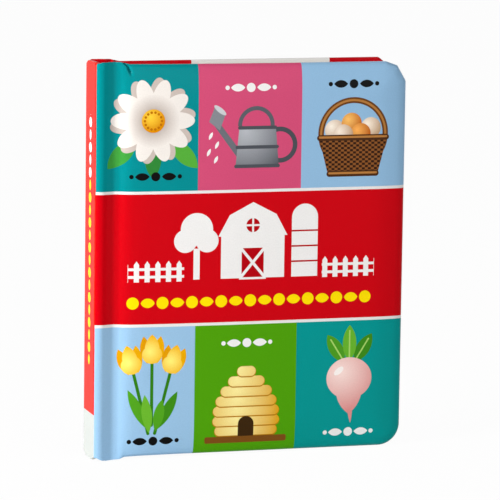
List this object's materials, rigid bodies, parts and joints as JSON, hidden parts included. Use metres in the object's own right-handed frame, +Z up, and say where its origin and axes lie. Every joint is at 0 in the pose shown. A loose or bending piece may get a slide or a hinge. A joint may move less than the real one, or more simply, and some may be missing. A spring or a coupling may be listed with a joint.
{
  "type": "padded board book",
  "caption": "Children's board book with padded hard covers, rounded fore-edge corners and grooves beside the spine, round a block of thick board leaves. Both covers open.",
  "frame": {"origin": "middle of the closed book across its width and its thickness, at the level of the spine's tail, which is its lowest point", "axes": "+Z up along the spine to the head, +X from the spine to the fore-edge, +Y from the front cover to the back cover"},
  "size_m": [0.1658, 0.031, 0.2069],
  "materials": {
    "board_leaves": "matte",
    "grey_board": "matte",
    "padding": "matte",
    "spine_print": "gloss",
    "front_print": "gloss",
    "back_print": "gloss",
    "end_paper": "satin"
  },
  "bodies": {
    "block": {"page_block": "board_leaves", "spine_board": "grey_board", "spine_wrap": "spine_print"},
    "front_cover": {"front_board": "grey_board", "front_padding": "padding", "front_wrap": "front_print", "front_pastedown": "end_paper"},
    "back_cover": {"back_board": "grey_board", "back_padding": "padding", "back_wrap": "back_print", "back_pastedown": "end_paper"}
  },
  "joints": [
    {"name": "front_cover_hinge", "type": "hinge", "parent": "block", "child": "front_cover", "pos_m": [-0.0761, -0.0109, 0.1], "axis": [0, 0, -1], "range_deg": [0, 180]},
    {"name": "back_cover_hinge", "type": "hinge", "parent": "block", "child": "back_cover", "pos_m": [-0.0761, 0.0109, 0.1], "axis": [0, 0, 1], "range_deg": [0, 180]}
  ]
}
